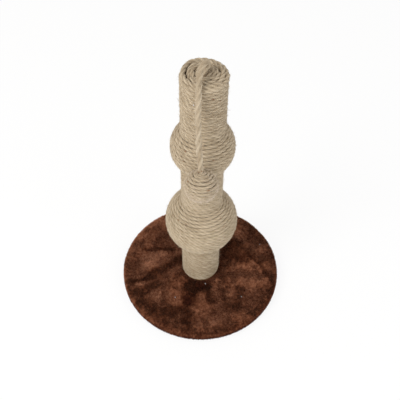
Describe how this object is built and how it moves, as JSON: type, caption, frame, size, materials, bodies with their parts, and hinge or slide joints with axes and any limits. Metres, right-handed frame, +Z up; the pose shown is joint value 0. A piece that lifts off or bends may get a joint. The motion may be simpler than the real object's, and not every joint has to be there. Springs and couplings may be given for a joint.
{
  "type": "cat scratching post",
  "caption": "Rope-wound cat scratching post with ball-shaped swellings on a round plush base, with a rope-wound toy ball hanging from its top.",
  "frame": {"origin": "on the floor, under the middle of the post", "axes": "+Z up along the post, +X to the right and -Y to the front, the side where the toy hangs"},
  "size_m": [0.299, 0.299, 0.5102],
  "materials": {
    "fibreboard": "raw pressed board",
    "brown_plush": "dark brown short-pile plush, brushed in patches",
    "lining_cloth": "thin black non-woven cloth",
    "pad_rubber": "matt anti-slip",
    "zinc_steel": "zinc plated",
    "plain_wood": "bare softwood",
    "tube_card": "spiral-wound board",
    "white_foam": "expanded foam",
    "wound_rope": "natural sisal rope, hairy",
    "toy_rope": "natural sisal rope, softly laid"
  },
  "bodies": {
    "post": {"base_board": "fibreboard", "plush_cover": "brown_plush", "cover_staples": "zinc_steel", "underside_lining": "lining_cloth", "anti_slip_pads": "pad_rubber", "post_bolt": "zinc_steel", "bolt_washer": "zinc_steel", "tee_nut": "zinc_steel", "bottom_plug": "plain_wood", "bottom_plug_nails": "zinc_steel", "core_tube": "tube_card", "top_plug": "plain_wood", "top_plug_nails": "zinc_steel", "lower_ball_core": "white_foam", "upper_ball_core": "white_foam", "lower_neck_winding": "wound_rope", "lower_ball_winding": "wound_rope", "middle_neck_winding": "wound_rope", "upper_ball_winding": "wound_rope", "upper_neck_winding": "wound_rope", "top_coil": "wound_rope"},
    "toy_lead": {"toy_anchor_knot": "toy_rope", "toy_rope_lead": "toy_rope"},
    "toy": {"toy_rope_drop": "toy_rope", "toy_ball_core": "white_foam", "toy_ball_winding": "wound_rope", "toy_ball_knot": "toy_rope"}
  },
  "joints": [
    {"name": "toy_swivel", "type": "hinge", "parent": "post", "child": "toy_lead", "pos_m": [0, 0, 0.488], "axis": [0, 0, 1], "continuous": true},
    {"name": "toy_swing", "type": "hinge", "parent": "toy_lead", "child": "toy", "pos_m": [-0.00709, -0.03863, 0.48714], "axis": [-1, 0, 0], "range_deg": [0, 90]}
  ]
}
